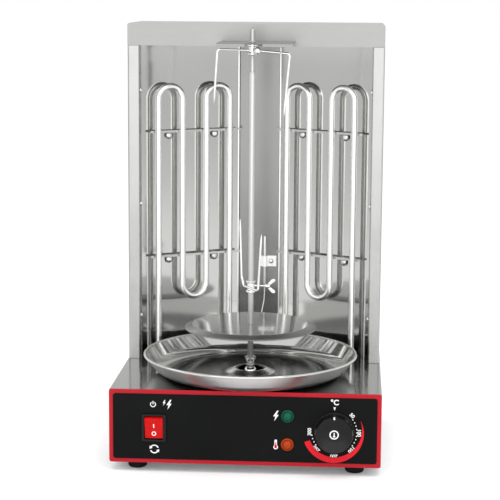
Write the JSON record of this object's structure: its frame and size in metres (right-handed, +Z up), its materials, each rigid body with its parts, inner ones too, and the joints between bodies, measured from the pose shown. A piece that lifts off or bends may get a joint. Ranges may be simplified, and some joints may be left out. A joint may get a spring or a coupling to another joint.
{
  "type": "vertical rotisserie broiler",
  "caption": "Upright electric rotisserie broiler with tubular elements in a reflector cabinet, a turning spit with forks and plate, a round drip tray and a control box base.",
  "frame": {"origin": "on the surface that the feet stand on, under the middle of the whole machine", "axes": "+Z up along the spit, +Y towards the back, +X to the viewer's right when facing the controls"},
  "size_m": [0.33, 0.3293, 0.539],
  "materials": {
    "brushed_stainless": "satin brushed",
    "polished_stainless": "polished",
    "chromed_steel": "mirror",
    "heater_sheath": "satin",
    "red_paint": "semi-gloss",
    "black_panel": "printed film",
    "black_plastic": "satin",
    "red_plastic": "gloss",
    "black_rubber": "matte",
    "green_lens": "gloss",
    "amber_lens": "gloss",
    "zinc_steel": "zinc plated",
    "brass": "machined",
    "white_nylon": "moulded",
    "copper": "drawn"
  },
  "bodies": {
    "chassis": {"base_shell": "brushed_stainless", "cabinet_wrap": "brushed_stainless", "top_cap": "brushed_stainless", "reflector_left": "brushed_stainless", "reflector_right": "brushed_stainless", "centre_panel": "brushed_stainless", "top_bracket": "brushed_stainless", "heater_strip_lower_left": "brushed_stainless", "heater_strip_lower_right": "brushed_stainless", "heater_strip_upper_left": "brushed_stainless", "heater_strip_upper_right": "brushed_stainless", "bulb_clip": "polished_stainless", "thermostat_bulb": "chromed_steel", "heater_left": "heater_sheath", "heater_right": "heater_sheath", "front_plate": "red_paint", "control_panel": "black_panel", "switch_body": "black_plastic", "heat_lamp_holder": "black_plastic", "power_lamp_holder": "black_plastic", "cable_gland": "black_plastic", "foot_front_left": "black_rubber", "foot_front_right": "black_rubber", "foot_rear_left": "black_rubber", "foot_rear_right": "black_rubber", "power_lamp_lens": "green_lens", "heat_lamp_lens": "amber_lens", "bottom_cover": "zinc_steel", "thermostat_body": "zinc_steel", "gearbox_housing": "zinc_steel", "gearbox_cover": "zinc_steel", "motor_can": "zinc_steel", "bulb_clip_screw": "zinc_steel", "shaft_bush": "brass", "heater_nut_left_inner": "brass", "heater_nut_left_outer": "brass", "heater_nut_right_inner": "brass", "heater_nut_right_outer": "brass", "terminal_block": "white_nylon", "capillary_tube": "copper"},
    "rotor": {"drive_shaft": "zinc_steel", "output_gear": "white_nylon", "drive_hub": "chromed_steel", "spit_bar": "brushed_stainless", "drive_pin": "chromed_steel", "meat_plate": "polished_stainless", "plate_collar": "chromed_steel"},
    "pinion": {"motor_pinion": "brass"},
    "top_pin": {"top_pin": "chromed_steel"},
    "upper_fork": {"upper_fork_collar": "chromed_steel", "upper_fork_prongs": "chromed_steel"},
    "upper_screw": {"upper_fork_screw": "chromed_steel"},
    "lower_fork": {"lower_fork_collar": "chromed_steel", "lower_fork_prongs": "chromed_steel"},
    "lower_screw": {"lower_fork_screw": "chromed_steel"},
    "tray": {"drip_tray": "polished_stainless"},
    "knob": {"thermostat_knob": "black_plastic", "thermostat_spindle": "zinc_steel"},
    "rocker": {"switch_rocker": "red_plastic"}
  },
  "joints": [
    {"name": "spit_spin", "type": "hinge", "parent": "chassis", "child": "rotor", "pos_m": [0, -0.0298, 0.1236], "axis": [0, 0, 1], "continuous": true},
    {"name": "pinion_spin", "type": "hinge", "parent": "chassis", "child": "pinion", "pos_m": [0, -0.0072, 0.085], "axis": [0, 0, 1], "continuous": true},
    {"name": "top_pin_lift", "type": "slide", "parent": "rotor", "child": "top_pin", "axis": [0, 0, 1], "range_m": [0, 0.018]},
    {"name": "upper_fork_slide", "type": "slide", "parent": "rotor", "child": "upper_fork", "axis": [0, 0, 1], "range_m": [-0.06, 0]},
    {"name": "upper_screw_turn", "type": "hinge", "parent": "upper_fork", "child": "upper_screw", "pos_m": [0, -0.0298, 0.5078], "axis": [0.5593, -0.829, 0], "range_deg": [0, 540]},
    {"name": "lower_fork_slide", "type": "slide", "parent": "rotor", "child": "lower_fork", "axis": [0, 0, 1], "range_m": [-0.03, 0.06]},
    {"name": "lower_screw_turn", "type": "hinge", "parent": "lower_fork", "child": "lower_screw", "pos_m": [0, -0.0298, 0.2142], "axis": [1, 0, 0], "range_deg": [0, 540]},
    {"name": "tray_lift", "type": "slide", "parent": "chassis", "child": "tray", "axis": [0, 0, 1], "range_m": [0, 0.02]},
    {"name": "thermostat_turn", "type": "hinge", "parent": "chassis", "child": "knob", "pos_m": [0.1085, -0.1343, 0.0557], "axis": [0, 1, 0], "range_deg": [0, 280]},
    {"name": "switch_rock", "type": "hinge", "parent": "chassis", "child": "rocker", "pos_m": [-0.11, -0.1313, 0.0563], "axis": [-1, 0, 0], "range_deg": [0, 22]}
  ],
  "couplings": [
    {"joint": "pinion_spin", "follows": "spit_spin", "ratio": -4}
  ]
}
